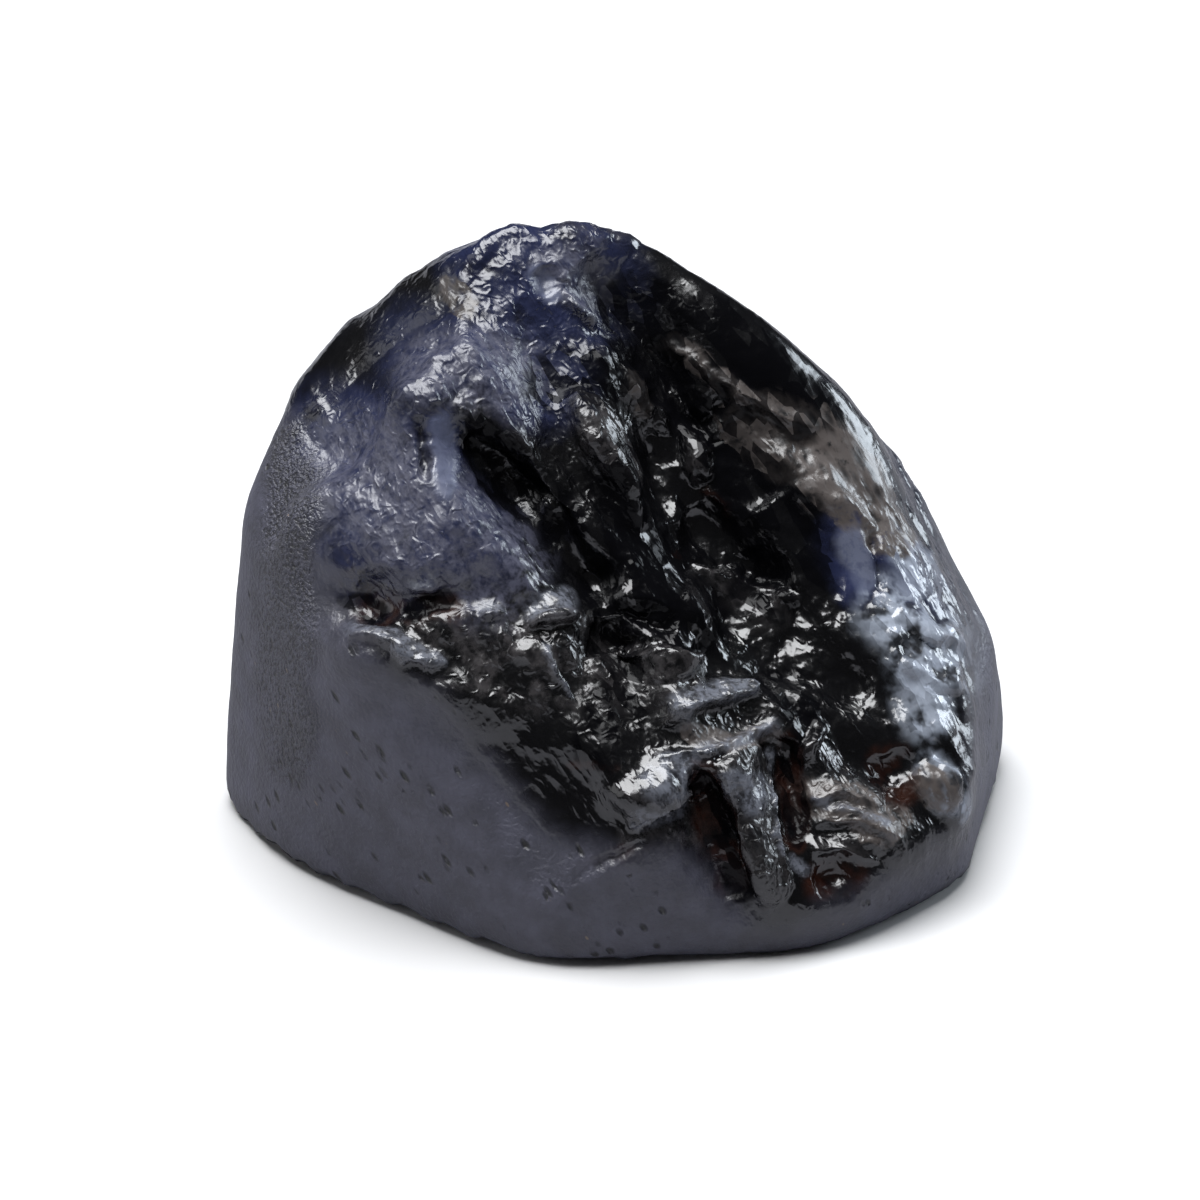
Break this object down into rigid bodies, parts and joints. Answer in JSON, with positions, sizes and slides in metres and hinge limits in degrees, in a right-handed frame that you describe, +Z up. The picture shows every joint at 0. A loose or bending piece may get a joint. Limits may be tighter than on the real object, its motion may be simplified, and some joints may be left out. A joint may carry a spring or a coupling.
{
  "type": "rough sapphire",
  "caption": "Rough sapphire: a broken, water-worn lump of near-black blue corundum with a large ridged fracture, smooth worn walls and a flat underside to rest on.",
  "frame": {"origin": "centre of the bounding box's bottom, on the flat underside", "axes": "+Z up from the underside, -Y towards the large fracture seen in the picture, +X to that view's right"},
  "size_m": [0.015, 0.013, 0.0116],
  "materials": {
    "sapphire": "glossy on the fracture, satin on the worn walls"
  },
  "bodies": {
    "root": {"sapphire": "sapphire"}
  },
  "joints": []
}
